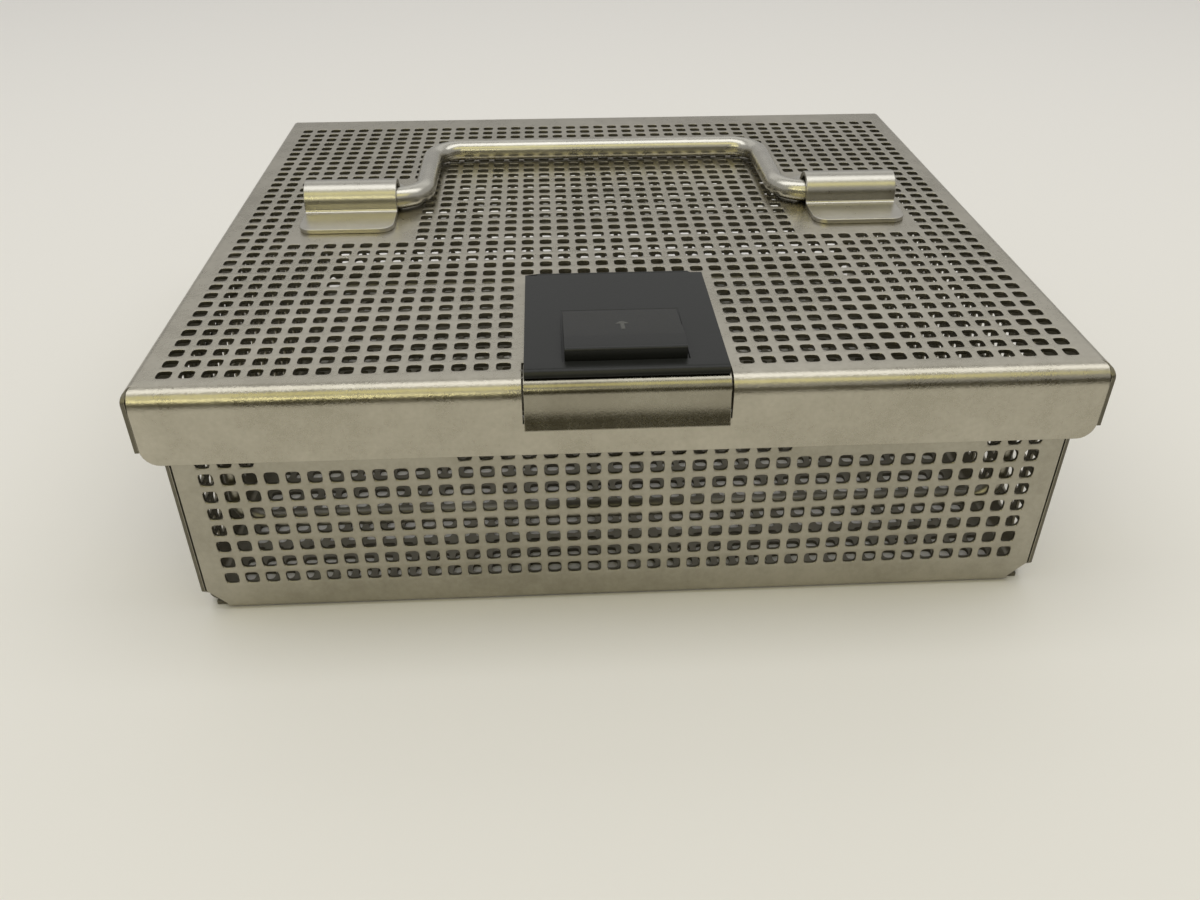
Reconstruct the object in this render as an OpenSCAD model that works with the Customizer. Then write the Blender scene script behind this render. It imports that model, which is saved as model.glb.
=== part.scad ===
// Perforated steel cassette with a hinged lid, a drop handle and a sliding latch.
// Millimetres. The origin is the middle of the underside of the floor.
// X runs across the front, -Y is the front and +Z is up.

/* [Sheet] */
// Thickness of the sheet of the tray and the lid
sheet = 1.2; // [0.8:0.1:1.6]
// Outer radius of the plain folds
fold_r = 2.6; // [2:0.1:4]

/* [Perforation] */
// Pitch of the square holes, one for each block of four in the real sheet
hole_pitch = 12; // [11:0.5:20]
// Side of a square hole
hole_size = 8; // [4:0.5:9]
// Least bare strip between a hole and an edge or a fitting
hole_margin = 1.5; // [1:0.5:6]
// Height of the bare strip along the foot of each wall
foot_strip = 9.4; // [6:0.2:12]
// Height of the bare strip along the rim
rim_strip = 8; // [6:0.5:12]
// How far the holes of the lid sit in front of its middle
holes_shift = 2.7; // [0:0.1:3]

/* [Tray] */
// Width across the side walls
tray_w = 254; // [236:1:300]
// Depth across the front and rear walls
tray_d = 226; // [200:1:280]
// Height of the rim over the surface it stands on
tray_h = 77.5; // [70:0.5:110]
// Bevel at the foot of each corner, where the walls are notched for folding
corner_cut = 5; // [4:0.5:8]

/* [Lid] */
// Play between the lid and the rim it lies on
lid_play = 0.3; // [0.2:0.1:1]
// Room between a side wall and the skirt
side_room = 4; // [3:0.5:8]
// Room between the front wall and the skirt
front_room = 3.1; // [3:0.1:8]
// Room between the rear wall and the skirt
rear_room = 4.3; // [4:0.1:8]
// Height of the front and rear skirts
skirt_h = 22.3; // [20:0.1:28]
// Height of the side skirts
side_skirt_h = 18.5; // [12:0.5:20]
// Outer radius of the fold along the front
front_fold_r = 5; // [3:0.5:6]
// Rounding of the lower corners of the front and rear skirts
skirt_corner_r = 5; // [2:0.5:8]

/* [Lid handle] */
// Thickness of the handle rod
rod_d = 7.5; // [5:0.5:9]
// Width over the two legs, on their middle lines
handle_w = 129; // [100:1:130]
// Reach from the pivot line to the grip, on the middle lines
handle_reach = 52; // [35:1:60]
// Radius of the bends on the middle line of the rod
handle_bend_r = 11; // [8:0.5:14]
// Distance of the pivot line behind the middle of the tray
handle_y = 9.3; // [5:0.1:15]
// Gap between the rod and the lid
rod_gap = 0.35; // [0.2:0.05:1]

/* [Handle brackets] */
// Thickness of the bracket strap
strap = 1.6; // [1.2:0.1:2]
// Length of a bracket along the rod
bracket_w = 32.4; // [20:0.1:36]
// Room between the rod and the tunnel over it
tunnel_room = 1.35; // [0.3:0.05:1.5]
// Length of each welded foot, from the tunnel to its end
foot_l = 16; // [8:0.5:18]
// Rounding of the corners of a foot
foot_corner_r = 5; // [2:0.5:6]
// Distance from the leg to the bracket
bracket_gap = 8.8; // [1:0.1:12]

/* [Latch] */
// Width of the black slider
slider_w = 55; // [50:1:60]
// Length of the slider over the lid
slider_l = 65.3; // [60:0.1:70]
// Thickness of the slider plate
slider_t = 2; // [1.5:0.1:3]
// Travel of the slider
latch_travel = 8; // [5:0.5:9]
// Running gap of the sliding faces
slide_gap = 0.2; // [0.1:0.05:0.4]
// Width of the thumb grip
grip_w = 34.5; // [25:0.5:40]
// Height of the thumb grip over the slider plate
grip_h = 3.4; // [2:0.1:4]
// Width of the steel bolt
bolt_w = 28; // [26:1:30]
// Width of the tongue of the bolt
tongue_w = 21; // [14:1:22]
// Thickness of the steel bolt and its rails
bolt_t = 1.5; // [1:0.1:2]
// How far the bolt reaches past the front wall
bolt_reach = 2.3; // [1:0.1:2.5]
// Height of the steel cover in front of the slider
cover_h = 14; // [12:0.5:16]
// Diameter of a return spring
spring_d = 4.6; // [4:0.1:5]
// Thickness of the spring wire
spring_wire = 0.6; // [0.4:0.1:0.8]
// Turns of a return spring
spring_turns = 6; // [4:1:7]

/* [Rear hinges] */
// Distance of each hinge from the middle
hinge_x = 70; // [40:1:95]
// Thickness of a hinge pin
pin_d = 2.5; // [2:0.1:3]
// Length of a hinge
hinge_l = 40; // [30:1:50]
// Thickness of the hinge leaves
leaf_t = 1; // [0.8:0.1:1.5]
// Height of a hinge leaf
leaf_h = 14; // [10:0.5:16]

/* [Tray handles] */
// Thickness of the rod of the two drop handles
drop_d = 5; // [4:0.5:6]
// Width of a drop handle over its legs, on their middle lines
drop_w = 222; // [212:1:224]
// Reach of a drop handle from its pivot line to its grip
drop_reach = 31.5; // [25:0.5:40]
// Depth of the pivot line under the rim
drop_depth = 15; // [12:0.5:18]
// Length of a drop handle's bracket
drop_bracket_w = 48; // [30:1:50]

/* [Hidden] */
$fn = 48;
eps = 0.01;
fold_steps = 5;

// Planes of the tray
wall_x = tray_w / 2;
front_y = -tray_d / 2;
rear_y = tray_d / 2;

// Planes of the lid
lid_top = tray_h + lid_play + sheet;
lid_under = lid_top - sheet;
lid_x = wall_x + side_room + sheet;
lid_front = front_y - front_room - sheet;
lid_rear = rear_y + rear_room + sheet;
skirt_z = lid_top - skirt_h;

// Counts of the perforation
wall_rows = floor((tray_h - foot_strip - rim_strip) / hole_pitch);
tray_cols = 2 * floor((tray_w - 2 * fold_r - 2 * hole_margin) / hole_pitch / 2);
side_cols = 2 * floor((tray_d - 2 * fold_r - 2 * hole_margin) / hole_pitch / 2);
wall_holes_z = foot_strip + wall_rows * hole_pitch / 2;
lid_cols = tray_cols + 1;
lid_rows = side_cols;
lid_holes_y = (lid_front + lid_rear) / 2 - holes_shift;

// Pivot and brackets of the lid handle
rod_r = rod_d / 2;
rod_z = lid_top + rod_gap + rod_r;
tunnel_r = rod_r + tunnel_room;
bracket_x = handle_w / 2 + bracket_gap;
bracket_y = handle_y + tunnel_room / 2;
foot_y = tunnel_r + strap + foot_l;

// Pivot and brackets of the drop handles
drop_r = drop_d / 2;
drop_z = tray_h - drop_depth;
drop_wall_gap = 0.7;
drop_y = rear_y - sheet - drop_wall_gap - drop_r;
drop_bend_r = 8;
drop_play = 0.4;
drop_tunnel_r = drop_r + drop_play;
drop_strap = 1.2;
drop_foot = 5.5;
drop_bracket_gap = 4;
drop_bracket_x = drop_w / 2 - drop_bend_r - drop_bracket_gap - drop_bracket_w;
rod_end_set = 1.5;

// Planes of the latch
slider_under = lid_top + slide_gap;
slider_top = slider_under + slider_t;
slider_set = 1.3;
slider_front = lid_front + slider_set;
slider_rear = slider_front + slider_l;
slider_bevel = 4;
nose_l = 3.2;
toe_l = 3.5;
grip_front = slider_front + nose_l + toe_l;
grip_l = 30;
boss_w = 24;
boss_l = 24;
boss_set = 16;
boss_front = slider_front + boss_set;
bolt_gap = 1.5;
bolt_top = lid_under - bolt_gap;
bolt_under = bolt_top - bolt_t;
tongue_drop = 2.8;
tongue_top = bolt_under - tongue_drop;
tongue_under = tongue_top - bolt_t;
tongue_front = front_y - bolt_reach;
strike_t = 1.5;
strike_play = 0.8;
tongue_l = sheet + strike_t + latch_travel + 6;
joggle_y = tongue_front + tongue_l;
bolt_tail = 4;
bolt_rear = boss_front + boss_l + bolt_tail;
bolt_tab_h = 6.5;
rail_gap = 0.3;
rail_w = 6;
rail_l = boss_l + 3;
spring_spare = 3;
spring_l = latch_travel + spring_turns * spring_wire + spring_spare;
spring_x = 6;
spring_z = bolt_under - bolt_tab_h / 2;
peg_gap = 0.3;
peg_r = spring_d / 2 - spring_wire - peg_gap;
peg_l = 2.5;
stop_front = bolt_rear + spring_l;
rivet_x = 7;
rivet_y = boss_front + boss_l / 2;
rivet_r = 1.5;
rivet_l = 3.5;
rivet_play = 0.05;
cover_w = slider_w + 0.8;
cover_lip = 11.2;
notch_gap = 0.5;
notch_w = cover_w + 2 * notch_gap;
notch_depth = 8;

// Pivot of the lid
pin_r = pin_d / 2;
pin_play = 0.05;
knuckle_wall = 1.4;
knuckle_r = pin_r + knuckle_wall;
knuckle_gap = 0.4;
hinge_y = (rear_y + lid_rear) / 2 + 0.2;
hinge_z = skirt_z - knuckle_r - knuckle_gap;
mid_knuckle_l = hinge_l * 0.45;

// Points of an arc, from one angle to another
function arc(centre, r, from, to, steps = fold_steps) = [
    for (i = [0:steps])
    let (a = from + (to - from) * i / steps)
    [centre[0] + r * cos(a), centre[1] + r * sin(a)]
];

// Outline of a rectangle with its own radius at each corner, from the lower left, turning left
function rounded(low, high, r) = concat(
    arc([low[0] + r[0], low[1] + r[0]], r[0], 180, 270),
    arc([high[0] - r[1], low[1] + r[1]], r[1], 270, 360),
    arc([high[0] - r[2], high[1] - r[2]], r[2], 0, 90),
    arc([low[0] + r[3], high[1] - r[3]], r[3], 90, 180)
);

// Does a hole at this place keep clear of every bare patch
function is_clear(place, bare) = len([
    for (b = bare)
    if (
        place[0] + hole_size / 2 + hole_margin > b[0] &&
        place[0] - hole_size / 2 - hole_margin < b[2] &&
        place[1] + hole_size / 2 + hole_margin > b[1] &&
        place[1] - hole_size / 2 - hole_margin < b[3]
    )
    1
]) == 0;

// A flat sheet with rows of square holes that miss the bare patches
module perforated(outline, centre, cols, rows, bare = []) {
    linear_extrude(sheet)
        difference() {
            polygon(outline);
            for (j = [0:rows - 1]) {
                for (i = [0:cols - 1]) {
                    place = centre + hole_pitch * [i - (cols - 1) / 2, j - (rows - 1) / 2];
                    if (is_clear(place, bare))
                        translate(place)
                            square(hole_size, center = true);
                }
            }
        }
}

// A quarter fold of the sheet along X, its bend centre on the axis, opening to +Y and +Z
module fold(length, r) {
    translate([-length / 2, 0, 0])
        rotate([90, 0, 90])
            linear_extrude(length)
                polygon(concat(arc([0, 0], r, 180, 270), arc([0, 0], r - sheet, 270, 180)));
}

// Stands a flat piece up, so that its +Y becomes +Z and its thickness runs to +Y
module stand_up() {
    rotate([90, 0, 0])
        mirror([0, 0, 1])
            children();
}

// A long wall of the tray, front or rear, with its outer face on the plane y = 0
module tray_long_wall() {
    half = wall_x - sheet;
    bare_z = drop_z - drop_tunnel_r - drop_strap - drop_foot;
    stand_up()
        perforated(
            [
                [-half + corner_cut, fold_r], [half - corner_cut, fold_r],
                [half, fold_r + corner_cut], [half, tray_h],
                [-half, tray_h], [-half, fold_r + corner_cut]
            ],
            [0, wall_holes_z], tray_cols, wall_rows,
            [
                [-drop_bracket_x - drop_bracket_w, bare_z, -drop_bracket_x, tray_h],
                [drop_bracket_x, bare_z, drop_bracket_x + drop_bracket_w, tray_h],
                [-tongue_w, bare_z, tongue_w, tray_h]
            ]
        );
    translate([0, fold_r, fold_r])
        fold(2 * (half - corner_cut), fold_r);
}

// A side wall of the tray, with its outer face on the plane x = 0
module tray_side_wall() {
    half = tray_d / 2;
    rotate([0, 0, -90]) {
        stand_up()
            perforated(
                [
                    [-half + corner_cut, fold_r], [half - corner_cut, fold_r],
                    [half, fold_r + corner_cut], [half, tray_h],
                    [-half, tray_h], [-half, fold_r + corner_cut]
                ],
                [0, wall_holes_z], side_cols, wall_rows
            );
        translate([0, fold_r, fold_r])
            fold(2 * (half - corner_cut), fold_r);
    }
}

module tray() {
    floor_x = wall_x - fold_r;
    floor_y = rear_y - fold_r;
    color("silver")
        difference() {
            union() {
                perforated(
                    [[-floor_x, -floor_y], [floor_x, -floor_y], [floor_x, floor_y], [-floor_x, floor_y]],
                    [0, 0], tray_cols, side_cols
                );
                translate([0, front_y, 0])
                    tray_long_wall();
                mirror([0, 1, 0])
                    translate([0, front_y, 0])
                        tray_long_wall();
                translate([-wall_x, 0, 0])
                    tray_side_wall();
                mirror([1, 0, 0])
                    translate([-wall_x, 0, 0])
                        tray_side_wall();
            }
            bolt_window(front_y - sheet, 3 * sheet);
        }
}

// The window that the bolt slides through
module bolt_window(y, depth) {
    translate([-tongue_w / 2 - strike_play, y, tongue_under - strike_play])
        cube([tongue_w + 2 * strike_play, depth, bolt_t + 2 * strike_play]);
}

// The plate that backs the window in the front wall
module strike_plate() {
    edge = 5;
    color("lightgray")
        difference() {
            translate([-tongue_w / 2 - edge, front_y + sheet, tongue_under - edge])
                cube([tongue_w + 2 * edge, strike_t, tray_h - tongue_under + edge]);
            bolt_window(front_y, sheet + 2 * strike_t);
        }
}

// Outline of a strap that lies flat, arches over a rod and lies flat again
function strap_outline(r, t, foot, rise) = concat(
    [[-foot, 0], [-r, 0]],
    arc([0, rise], r, 180, 0, 12),
    [[r, 0], [foot, 0], [foot, t], [r + t, t]],
    arc([0, rise], r + t, 0, 180, 12),
    [[-r - t, t], [-foot, t]]
);

// A bracket of the lid handle, on the lid, starting at x = 0
module lid_bracket() {
    plan = rounded([0, -foot_y], [bracket_w, foot_y], [1, 1, 1, 1] * foot_corner_r);
    color("silver")
        translate([0, bracket_y, lid_top])
            intersection() {
                rotate([90, 0, 90])
                    linear_extrude(bracket_w)
                        polygon(strap_outline(tunnel_r, strap, foot_y, rod_gap + rod_r));
                union() {
                    linear_extrude(2 * strap)
                        polygon(plan);
                    translate([0, -tunnel_r - 2 * strap, 0])
                        cube([bracket_w, 2 * (tunnel_r + 2 * strap), 4 * rod_d]);
                }
            }
}

module lid_bracket_right() {
    translate([bracket_x, 0, 0])
        lid_bracket();
}

module lid_bracket_left() {
    mirror([1, 0, 0])
        lid_bracket_right();
}

// A bracket of a drop handle, inside the rear wall, starting at x = 0
module tray_bracket() {
    color("silver")
        translate([0, rear_y - sheet, drop_z])
            rotate([0, 90, 0])
                rotate([0, 0, 180])
                    linear_extrude(drop_bracket_w)
                        polygon(strap_outline(
                            drop_tunnel_r, drop_strap, drop_tunnel_r + drop_strap + drop_foot,
                            drop_wall_gap + drop_r
                        ));
}

module tray_bracket_rear_right() {
    translate([drop_bracket_x, 0, 0])
        tray_bracket();
}

module tray_bracket_rear_left() {
    mirror([1, 0, 0])
        tray_bracket_rear_right();
}

module tray_bracket_front_right() {
    mirror([0, 1, 0])
        tray_bracket_rear_right();
}

module tray_bracket_front_left() {
    mirror([0, 1, 0])
        tray_bracket_rear_left();
}

// Half of a bent rod in the XY plane: an end along X, a bend, a leg along +Y, a bend, half the grip
module half_bail(r, half_w, reach, bend, end_x) {
    translate([half_w + bend, 0, 0])
        rotate([0, 90, 0])
            cylinder(h = end_x - half_w - bend, r = r);
    translate([half_w + bend, bend, 0])
        rotate([0, 0, 180])
            rotate_extrude(angle = 90)
                translate([bend, 0])
                    circle(r);
    translate([half_w, bend, 0])
        rotate([-90, 0, 0])
            cylinder(h = reach - 2 * bend, r = r);
    translate([half_w - bend, reach - bend, 0])
        rotate_extrude(angle = 90)
            translate([bend, 0])
                circle(r);
    translate([0, reach, 0])
        rotate([0, 90, 0])
            cylinder(h = half_w - bend, r = r);
}

module lid_handle() {
    end_x = bracket_x + bracket_w - rod_end_set;
    color("gainsboro")
        translate([0, handle_y, rod_z])
            union() {
                half_bail(rod_r, handle_w / 2, handle_reach, handle_bend_r, end_x);
                mirror([1, 0, 0])
                    half_bail(rod_r, handle_w / 2, handle_reach, handle_bend_r, end_x);
            }
}

// Half of a drop handle: an end along X, a bend, a leg down, a bend, half the grip
module half_drop_bail() {
    half = drop_w / 2;
    straight = half - drop_bend_r;
    start = drop_bracket_x + rod_end_set;
    translate([start, 0, 0])
        rotate([0, 90, 0])
            cylinder(h = straight - start, r = drop_r);
    translate([straight, -drop_bend_r, 0])
        rotate_extrude(angle = 90)
            translate([drop_bend_r, 0])
                circle(drop_r);
    translate([half, -drop_bend_r, 0])
        rotate([90, 0, 0])
            cylinder(h = drop_reach - 2 * drop_bend_r, r = drop_r);
    translate([straight, drop_bend_r - drop_reach, 0])
        rotate([0, 0, -90])
            rotate_extrude(angle = 90)
                translate([drop_bend_r, 0])
                    circle(drop_r);
    translate([0, -drop_reach, 0])
        rotate([0, 90, 0])
            cylinder(h = straight, r = drop_r);
}

module tray_handle_rear() {
    color("gainsboro")
        translate([0, drop_y, drop_z])
            rotate([90, 0, 0])
                union() {
                    half_drop_bail();
                    mirror([1, 0, 0])
                        half_drop_bail();
                }
}

module tray_handle_front() {
    mirror([0, 1, 0])
        tray_handle_rear();
}

// A skirt of the lid, hanging from z = 0 to its lower edge, its outer face on the plane y = 0
module skirt(half, fold_radius, height, corner_r) {
    stand_up()
        linear_extrude(sheet)
            polygon(rounded([-half, -height], [half, -fold_radius], [corner_r, corner_r, 0, 0]));
}

module lid() {
    relief = 0.6;
    side_corner_r = 2;
    boss_play = 0.5;
    plate_front = lid_front + front_fold_r;
    plate_rear = lid_rear - fold_r;
    plate_x = lid_x - fold_r;
    skirt_half = lid_x - sheet - relief;
    side_front = lid_front + relief;
    side_rear = lid_rear - relief;
    side_mid = (side_front + side_rear) / 2;
    side_half = (side_rear - side_front) / 2;
    fold_front = plate_front + relief;
    fold_rear = plate_rear - relief;
    color("silver")
        difference() {
            union() {
                translate([0, 0, lid_under])
                    perforated(
                        [
                            [-plate_x, plate_front], [plate_x, plate_front],
                            [plate_x, plate_rear], [-plate_x, plate_rear]
                        ],
                        [0, lid_holes_y], lid_cols, lid_rows,
                        [
                            [-bracket_x - bracket_w, bracket_y - foot_y, -bracket_x, bracket_y + foot_y],
                            [bracket_x, bracket_y - foot_y, bracket_x + bracket_w, bracket_y + foot_y],
                            [-slider_w / 2, lid_front, slider_w / 2, slider_rear]
                        ]
                    );
                translate([0, lid_front, lid_top]) {
                    skirt(skirt_half, front_fold_r, skirt_h, skirt_corner_r);
                    translate([0, front_fold_r, -front_fold_r])
                        mirror([0, 0, 1])
                            fold(2 * (plate_x - relief), front_fold_r);
                }
                translate([0, lid_rear, lid_top])
                    mirror([0, 1, 0]) {
                        skirt(skirt_half, fold_r, skirt_h, skirt_corner_r);
                        translate([0, fold_r, -fold_r])
                            mirror([0, 0, 1])
                                fold(2 * (plate_x - relief), fold_r);
                    }
                for (side = [0, 1])
                    mirror([side, 0, 0])
                        translate([-lid_x, side_mid, lid_top])
                            rotate([0, 0, -90]) {
                                skirt(side_half, fold_r, side_skirt_h, side_corner_r);
                                translate([side_mid - (fold_front + fold_rear) / 2, fold_r, -fold_r])
                                    mirror([0, 0, 1])
                                        fold(fold_rear - fold_front, fold_r);
                            }
            }
            translate([-notch_w / 2, lid_front - 1, lid_top - notch_depth])
                cube([notch_w, 1 + cover_lip + notch_gap, notch_depth + 1]);
            translate([-boss_w / 2 - boss_play, boss_front - boss_play, lid_under - 1])
                cube([boss_w + 2 * boss_play, boss_l + latch_travel + 2 * boss_play, sheet + 2]);
        }
}

// Steel cover that closes the notch of the front fold and hides the nose of the slider
module latch_cover() {
    r = front_fold_r - 1;
    top = lid_top - 0.1;
    face = lid_front - sheet;
    back = lid_front + cover_lip;
    foot = lid_top - cover_h;
    color("gray")
        translate([-cover_w / 2, 0, 0])
            rotate([90, 0, 90])
                linear_extrude(cover_w)
                    polygon(concat(
                        [[back, top]],
                        arc([face + r, top - r], r, 90, 180),
                        [[face, foot], [lid_front, foot]],
                        arc([face + r, top - r], r - sheet, 180, 90),
                        [[back, top - sheet]]
                    ));
}

// A rail that carries one edge of the bolt, welded under the lid
module latch_rail_right() {
    web_x = bolt_w / 2 + rail_gap;
    ledge = (bolt_w - tongue_w) / 2 - rail_gap;
    foot_z = bolt_under - slide_gap - bolt_t;
    flange_z = lid_under - bolt_t;
    color("lightgray")
        translate([0, boss_front, 0])
            rotate([90, 0, 0])
                mirror([0, 0, 1])
                    linear_extrude(rail_l)
                        polygon([
                            [web_x - ledge, foot_z], [web_x + bolt_t, foot_z],
                            [web_x + bolt_t, flange_z], [web_x + rail_w, flange_z],
                            [web_x + rail_w, lid_under], [web_x, lid_under],
                            [web_x, foot_z + bolt_t], [web_x - ledge, foot_z + bolt_t]
                        ]);
}

module latch_rail_left() {
    mirror([1, 0, 0])
        latch_rail_right();
}

// The upright that the return springs push against, welded under the lid
module spring_stop() {
    half = spring_x + spring_d;
    low = bolt_under - bolt_tab_h;
    foot_end = stop_front + 8;
    flange_z = lid_under - bolt_t;
    color("lightgray") {
        translate([-half, 0, 0])
            rotate([90, 0, 90])
                linear_extrude(2 * half)
                    polygon([
                        [stop_front, low], [stop_front + bolt_t, low], [stop_front + bolt_t, flange_z],
                        [foot_end, flange_z], [foot_end, lid_under], [stop_front, lid_under]
                    ]);
        for (x = [-spring_x, spring_x])
            translate([x, stop_front, spring_z])
                rotate([90, 0, 0])
                    cylinder(h = peg_l, r = peg_r);
    }
}

// The black slider, with its nose, its thumb grip and the boss that passes through the lid
module latch_slider() {
    nose_r = (nose_l * nose_l + slider_t * slider_t) / (2 * slider_t);
    nose = arc([slider_front + nose_l, slider_top - nose_r], nose_r, 90, 90 + asin(nose_l / nose_r));
    grip_sink = 0.5;
    grip_top = slider_top + grip_h;
    grip_edge = 0.6;
    grip_flat = 8.2;
    toe_h = 1.1;
    color("dimgray") {
        difference() {
            union() {
                translate([-slider_w / 2, 0, 0])
                    rotate([90, 0, 90])
                        linear_extrude(slider_w)
                            polygon(concat(
                                nose,
                                [
                                    [slider_front, slider_under], [slider_rear, slider_under],
                                    [slider_rear, slider_top]
                                ]
                            ));
                translate([-grip_w / 2, 0, 0])
                    rotate([90, 0, 90])
                        linear_extrude(grip_w)
                            polygon([
                                [grip_front - toe_l, slider_top - grip_sink],
                                [grip_front - toe_l, slider_top],
                                [grip_front, slider_top + toe_h], [grip_front, grip_top - grip_edge],
                                [grip_front + grip_edge, grip_top],
                                [grip_front + grip_flat, grip_top], [grip_front + grip_l, slider_top],
                                [grip_front + grip_l, slider_top - grip_sink]
                            ]);
                translate([-boss_w / 2, boss_front, bolt_top])
                    cube([boss_w, boss_l, slider_top - bolt_top]);
            }
            for (x = [-1, 1]) {
                translate([x * slider_w / 2, slider_rear, slider_under - 1])
                    rotate([0, 0, 45])
                        cube([slider_bevel * sqrt(2), slider_bevel * sqrt(2), 4 * slider_t], center = true);
                translate([x * rivet_x, rivet_y, bolt_top - eps])
                    cylinder(h = rivet_l + eps, r = rivet_r + rivet_play);
            }
        }
    }
}

// The steel bolt: a plate under the boss, a step down to the tongue and a tab for the springs
module latch_bolt() {
    color("lightgray")
        difference() {
            union() {
                translate([-bolt_w / 2, boss_front + bolt_t, bolt_under])
                    cube([bolt_w, bolt_rear - boss_front - bolt_t, bolt_t]);
                translate([-tongue_w / 2, 0, 0])
                    rotate([90, 0, 90])
                        linear_extrude(tongue_w)
                            polygon([
                                [tongue_front, tongue_under], [joggle_y + bolt_t, tongue_under],
                                [joggle_y + bolt_t, bolt_under], [bolt_rear, bolt_under],
                                [bolt_rear, bolt_top], [joggle_y, bolt_top],
                                [joggle_y, tongue_top], [tongue_front, tongue_top]
                            ]);
                translate([-spring_x - spring_d, bolt_rear - bolt_t, bolt_under - bolt_tab_h])
                    cube([2 * (spring_x + spring_d), bolt_t, bolt_tab_h]);
                for (x = [-spring_x, spring_x])
                    translate([x, bolt_rear, spring_z])
                        rotate([-90, 0, 0])
                            cylinder(h = peg_l, r = peg_r);
            }
            for (x = [-rivet_x, rivet_x])
                translate([x, rivet_y, bolt_under - 1])
                    cylinder(h = bolt_t + 2, r = rivet_r + rivet_play);
        }
}

// Two rivets that hold the bolt to the boss
module latch_rivets() {
    color("gainsboro")
        for (x = [-rivet_x, rivet_x])
            translate([x, rivet_y, 0]) {
                translate([0, 0, bolt_under - rivet_r])
                    cylinder(h = rivet_r, r = 2 * rivet_r);
                translate([0, 0, bolt_under - eps])
                    cylinder(h = bolt_t + rivet_l - slide_gap, r = rivet_r);
            }
}

// Ring points of a coiled wire along +Y, for one step of the coil
function wire_ring(k, rings, sides, coil_r, wire_r, length) =
    let (
        turn = 360 * spring_turns * k / rings,
        y = wire_r + (length - 2 * wire_r) * k / rings,
        out = [cos(turn), 0, sin(turn)]
    )
    [
        for (s = [0:sides - 1])
        let (a = 360 * s / sides)
        (coil_r + wire_r * cos(a)) * out + [0, y + wire_r * sin(a), 0]
    ];

// A coiled wire as one closed tube
module coil(length) {
    sides = 6;
    rings = 12 * spring_turns;
    coil_r = (spring_d - spring_wire) / 2;
    points = [
        for (k = [0:rings])
        each wire_ring(k, rings, sides, coil_r, spring_wire / 2, length)
    ];
    tube = [
        for (k = [0:rings - 1], s = [0:sides - 1])
        let (a = k * sides + s, b = k * sides + (s + 1) % sides)
        each [[a, b, b + sides], [a, b + sides, a + sides]]
    ];
    caps = [
        for (s = [1:sides - 2])
        each [[0, s + 1, s], [rings * sides, rings * sides + s, rings * sides + s + 1]]
    ];
    polyhedron(points, concat(tube, caps));
}

module latch_spring_right() {
    end_gap = 0.15;
    color("darkgray")
        translate([spring_x, bolt_rear + end_gap, spring_z])
            coil(spring_l - 2 * end_gap);
}

module latch_spring_left() {
    translate([-2 * spring_x, 0, 0])
        latch_spring_right();
}

// The hinge leaf on the rear wall, with the middle knuckle
module tray_hinge_leaf_right() {
    half = mid_knuckle_l / 2;
    color("lightgray")
        translate([hinge_x, 0, 0])
            difference() {
                union() {
                    translate([-half, rear_y, hinge_z - leaf_h])
                        cube([2 * half, leaf_t, leaf_h]);
                    translate([-half, hinge_y, hinge_z])
                        rotate([0, 90, 0])
                            cylinder(h = 2 * half, r = knuckle_r);
                    translate([-half, rear_y, hinge_z - knuckle_r])
                        cube([2 * half, hinge_y - rear_y, knuckle_r]);
                }
                translate([-half - 1, hinge_y, hinge_z])
                    rotate([0, 90, 0])
                        cylinder(h = 2 * half + 2, r = pin_r + pin_play);
            }
}

module tray_hinge_leaf_left() {
    mirror([1, 0, 0])
        tray_hinge_leaf_right();
}

// The hinge leaf in the rear skirt, with the two outer knuckles
module lid_hinge_leaf_right() {
    start = mid_knuckle_l / 2 + knuckle_gap;
    face = lid_rear - sheet;
    width = hinge_l / 2 - start;
    color("lightgray")
        translate([hinge_x, 0, 0])
            difference() {
                union() {
                    translate([-hinge_l / 2, face - leaf_t, skirt_z + 1])
                        cube([hinge_l, leaf_t, leaf_h]);
                    for (x = [-hinge_l / 2, start]) {
                        translate([x, hinge_y, hinge_z])
                            rotate([0, 90, 0])
                                cylinder(h = width, r = knuckle_r);
                        translate([x, face - leaf_t, hinge_z])
                            cube([width, leaf_t, skirt_z + 1 - hinge_z]);
                    }
                }
                translate([-hinge_l / 2 - 1, hinge_y, hinge_z])
                    rotate([0, 90, 0])
                        cylinder(h = hinge_l + 2, r = pin_r + pin_play);
            }
}

module lid_hinge_leaf_left() {
    mirror([1, 0, 0])
        lid_hinge_leaf_right();
}

module hinge_pin_right() {
    head_t = 0.8;
    color("gainsboro")
        translate([hinge_x - hinge_l / 2, hinge_y, hinge_z])
            rotate([0, 90, 0]) {
                translate([0, 0, -head_t])
                    cylinder(h = head_t, r = knuckle_r);
                cylinder(h = hinge_l, r = pin_r);
                translate([0, 0, hinge_l])
                    cylinder(h = head_t, r = knuckle_r);
            }
}

module hinge_pin_left() {
    mirror([1, 0, 0])
        hinge_pin_right();
}

tray();
strike_plate();
tray_bracket_front_left();
tray_bracket_front_right();
tray_bracket_rear_left();
tray_bracket_rear_right();
tray_hinge_leaf_left();
tray_hinge_leaf_right();
tray_handle_front();
tray_handle_rear();
lid();
lid_bracket_left();
lid_bracket_right();
lid_hinge_leaf_left();
lid_hinge_leaf_right();
hinge_pin_left();
hinge_pin_right();
latch_cover();
latch_rail_left();
latch_rail_right();
spring_stop();
lid_handle();
latch_slider();
latch_bolt();
latch_rivets();
latch_spring_left();
latch_spring_right();
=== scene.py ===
from math import acos, atan2, cos, pi, radians, sin, tan

import bmesh
import bpy
from mathutils import Matrix, Vector


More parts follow.
